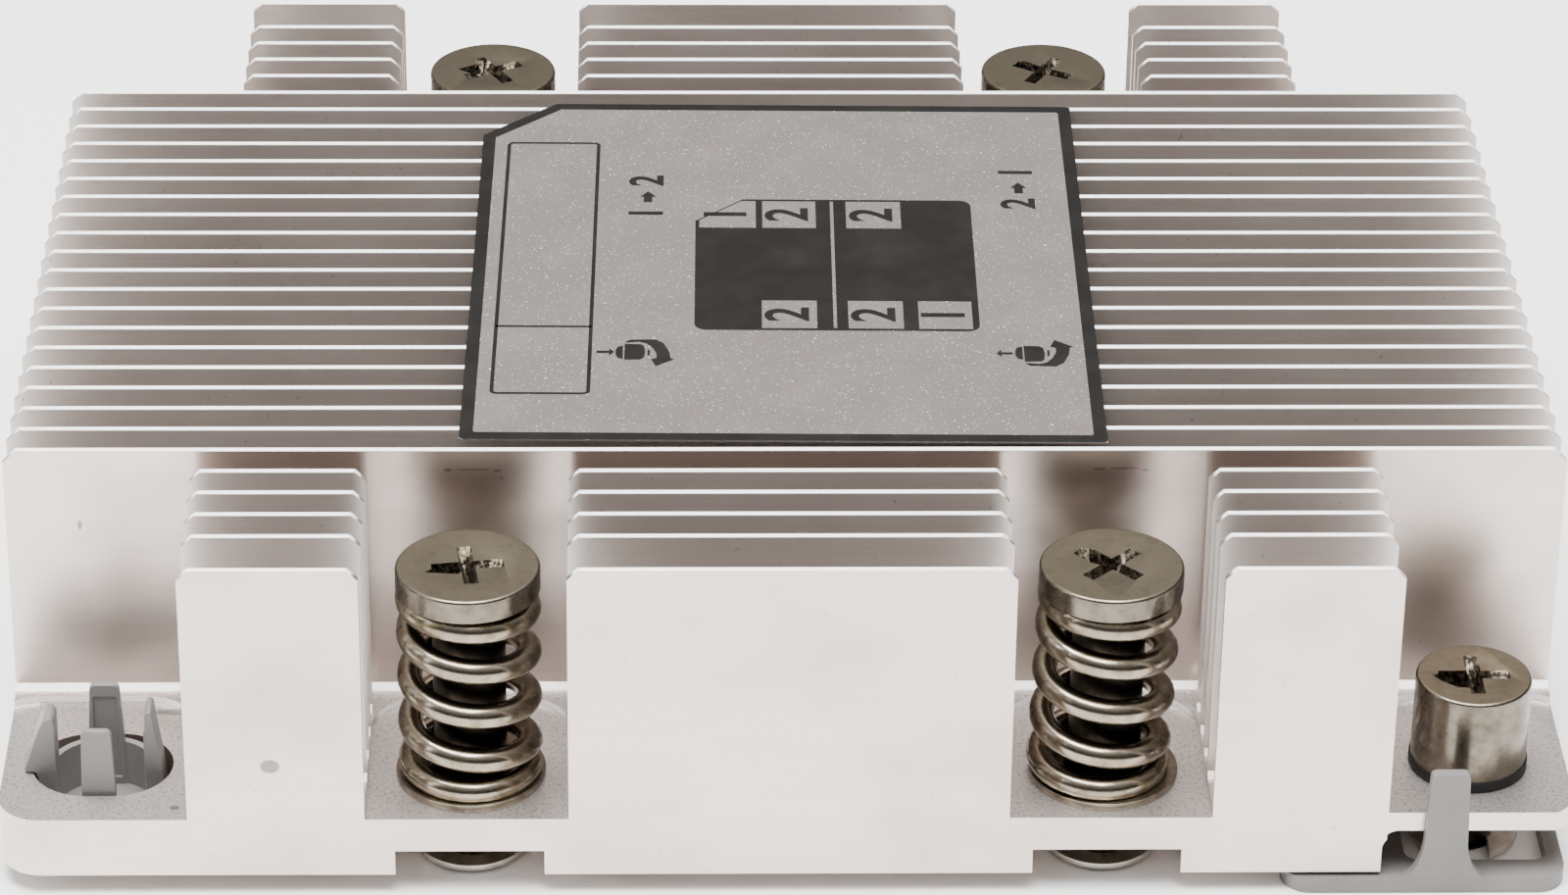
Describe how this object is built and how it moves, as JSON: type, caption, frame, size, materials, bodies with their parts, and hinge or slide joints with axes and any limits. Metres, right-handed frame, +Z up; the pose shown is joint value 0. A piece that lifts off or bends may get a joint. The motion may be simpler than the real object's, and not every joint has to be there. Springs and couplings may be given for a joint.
{
  "type": "passive server cpu heatsink",
  "caption": "Low passive processor heatsink: milled aluminium fin block with spring-loaded captive screws at its long edges, corner screws and a clipped-on plastic processor carrier.",
  "frame": {"origin": "middle of the base on the surface that the processor carrier stands on", "axes": "+X along the fins, the long way; +Y across the fins; +Z up, from the processor side to the fin tips"},
  "size_m": [0.108, 0.089, 0.0259],
  "materials": {
    "extruded_aluminium": "satin",
    "carrier_plastic": "matt",
    "label_film": "satin",
    "plated_steel": "satin",
    "spring_wire": "polished",
    "washer_steel": "satin",
    "clip_steel": "satin",
    "black_washer": "matt"
  },
  "bodies": {
    "heatsink": {"heatsink_body": "extruded_aluminium", "processor_carrier": "carrier_plastic", "top_label": "label_film", "flat_washer_front_left": "washer_steel", "flat_washer_front_right": "washer_steel", "flat_washer_back_right": "washer_steel", "flat_washer_back_left": "washer_steel", "corner_washer_front_right": "black_washer", "corner_washer_back_left": "black_washer", "compression_spring_front_left": "spring_wire", "compression_spring_front_right": "spring_wire", "compression_spring_back_right": "spring_wire", "compression_spring_back_left": "spring_wire"},
    "sliding_clip_front_left": {"retaining_clip_front_left": "clip_steel"},
    "turning_screw_front_left": {"spring_screw_front_left": "plated_steel"},
    "sliding_clip_front_right": {"retaining_clip_front_right": "clip_steel"},
    "turning_screw_front_right": {"spring_screw_front_right": "plated_steel"},
    "sliding_clip_back_right": {"retaining_clip_back_right": "clip_steel"},
    "turning_screw_back_right": {"spring_screw_back_right": "plated_steel"},
    "sliding_clip_back_left": {"retaining_clip_back_left": "clip_steel"},
    "turning_screw_back_left": {"spring_screw_back_left": "plated_steel"},
    "sliding_corner_clip_front_right": {"corner_clip_front_right": "clip_steel"},
    "turning_corner_screw_front_right": {"corner_screw_front_right": "plated_steel"},
    "sliding_corner_clip_back_left": {"corner_clip_back_left": "clip_steel"},
    "turning_corner_screw_back_left": {"corner_screw_back_left": "plated_steel"}
  },
  "joints": [
    {"name": "screw_travel_front_left", "type": "slide", "parent": "heatsink", "child": "sliding_clip_front_left", "axis": [0, 0, 1], "range_m": [-0.006, 0.0026], "stiffness_N_per_m": 3000, "deforming": ["compression_spring_front_left"]},
    {"name": "screw_turn_front_left", "type": "hinge", "parent": "sliding_clip_front_left", "child": "turning_screw_front_left", "pos_m": [-0.0218, -0.0381, 0.0125], "axis": [0, 0, 1], "continuous": true},
    {"name": "screw_travel_front_right", "type": "slide", "parent": "heatsink", "child": "sliding_clip_front_right", "axis": [0, 0, 1], "range_m": [-0.006, 0.0026], "stiffness_N_per_m": 3000, "deforming": ["compression_spring_front_right"]},
    {"name": "screw_turn_front_right", "type": "hinge", "parent": "sliding_clip_front_right", "child": "turning_screw_front_right", "pos_m": [0.0218, -0.0381, 0.0125], "axis": [0, 0, 1], "continuous": true},
    {"name": "screw_travel_back_right", "type": "slide", "parent": "heatsink", "child": "sliding_clip_back_right", "axis": [0, 0, 1], "range_m": [-0.006, 0.0026], "stiffness_N_per_m": 3000, "deforming": ["compression_spring_back_right"]},
    {"name": "screw_turn_back_right", "type": "hinge", "parent": "sliding_clip_back_right", "child": "turning_screw_back_right", "pos_m": [0.0218, 0.0381, 0.0125], "axis": [0, 0, 1], "continuous": true},
    {"name": "screw_travel_back_left", "type": "slide", "parent": "heatsink", "child": "sliding_clip_back_left", "axis": [0, 0, 1], "range_m": [-0.006, 0.0026], "stiffness_N_per_m": 3000, "deforming": ["compression_spring_back_left"]},
    {"name": "screw_turn_back_left", "type": "hinge", "parent": "sliding_clip_back_left", "child": "turning_screw_back_left", "pos_m": [-0.0218, 0.0381, 0.0125], "axis": [0, 0, 1], "continuous": true},
    {"name": "corner_screw_lift_front_right", "type": "slide", "parent": "heatsink", "child": "sliding_corner_clip_front_right", "axis": [0, 0, 1], "range_m": [0, 0.0037]},
    {"name": "corner_screw_turn_front_right", "type": "hinge", "parent": "sliding_corner_clip_front_right", "child": "turning_corner_screw_front_right", "pos_m": [0.0472, -0.03715, 0.0065], "axis": [0, 0, 1], "continuous": true},
    {"name": "corner_screw_lift_back_left", "type": "slide", "parent": "heatsink", "child": "sliding_corner_clip_back_left", "axis": [0, 0, 1], "range_m": [0, 0.0037]},
    {"name": "corner_screw_turn_back_left", "type": "hinge", "parent": "sliding_corner_clip_back_left", "child": "turning_corner_screw_back_left", "pos_m": [-0.0472, 0.03715, 0.0065], "axis": [0, 0, 1], "continuous": true}
  ]
}
